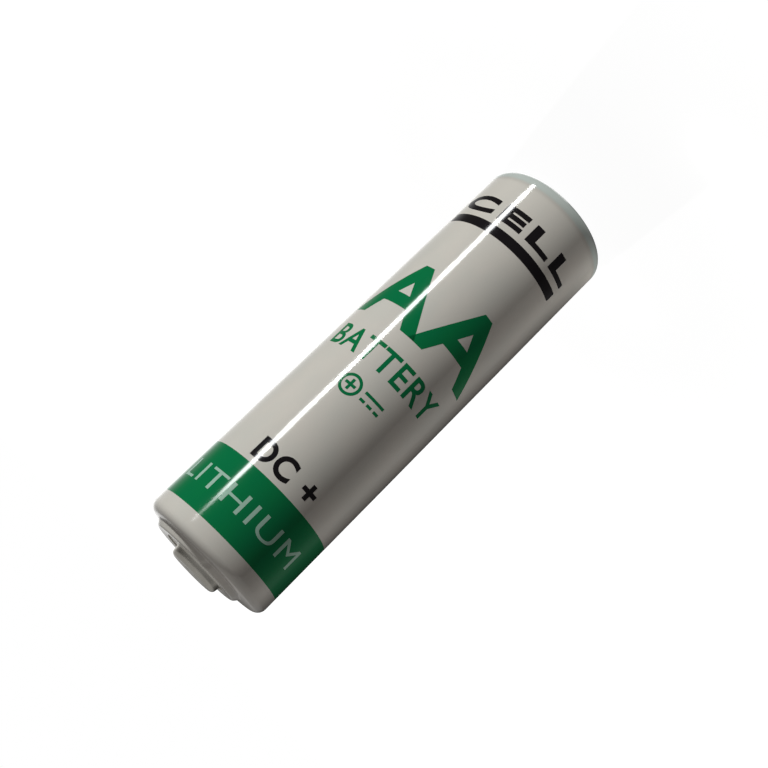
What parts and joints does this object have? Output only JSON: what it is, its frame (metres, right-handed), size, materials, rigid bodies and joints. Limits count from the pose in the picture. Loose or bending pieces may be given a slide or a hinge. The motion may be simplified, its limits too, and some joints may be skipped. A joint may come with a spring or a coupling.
{
  "type": "cylindrical battery cell",
  "caption": "Slim round battery cell: steel can in a glossy printed shrink sleeve, flat contact at one end and a small raised button contact at the other.",
  "frame": {"origin": "centre of the flat negative contact face, on which the cell stands", "axes": "+Z along the cell's axis, from the negative contact to the positive button; +X towards the lead inside"},
  "size_m": [0.0142, 0.0142, 0.0503],
  "materials": {
    "sleeve_film": "glossy printed heat-shrink film",
    "plated_steel": "nickel plated, drawn",
    "weld_steel": "rippled weld",
    "cap_steel": "nickel plated, pressed",
    "washer_plastic": "matt",
    "potting_resin": "cast resin",
    "seal_glass": "fused",
    "stainless_steel": "drawn",
    "liner_paper": "glass-fibre paper",
    "nickel": "rolled",
    "carbon": "porous carbon black, pressed",
    "separator_paper": "non-woven glass fibre",
    "lithium": "rolled foil, soft",
    "electrolyte_liquid": "clear pale yellow liquid"
  },
  "bodies": {
    "root": {"shrink_sleeve": "sleeve_film", "can": "plated_steel", "cover": "plated_steel", "rim_weld": "weld_steel", "positive_cap": "cap_steel", "insulating_washer": "washer_plastic", "seal_potting": "potting_resin", "glass_seal": "seal_glass", "feedthrough_tube": "stainless_steel", "sealing_ball": "stainless_steel", "sealing_pin": "stainless_steel", "cover_liner": "liner_paper", "collector_lead": "nickel", "current_collector": "nickel", "carbon_cathode": "carbon", "separator_tube": "separator_paper", "bottom_separator": "separator_paper", "top_separator": "separator_paper", "lithium_anode": "lithium", "electrolyte": "electrolyte_liquid"}
  },
  "joints": []
}
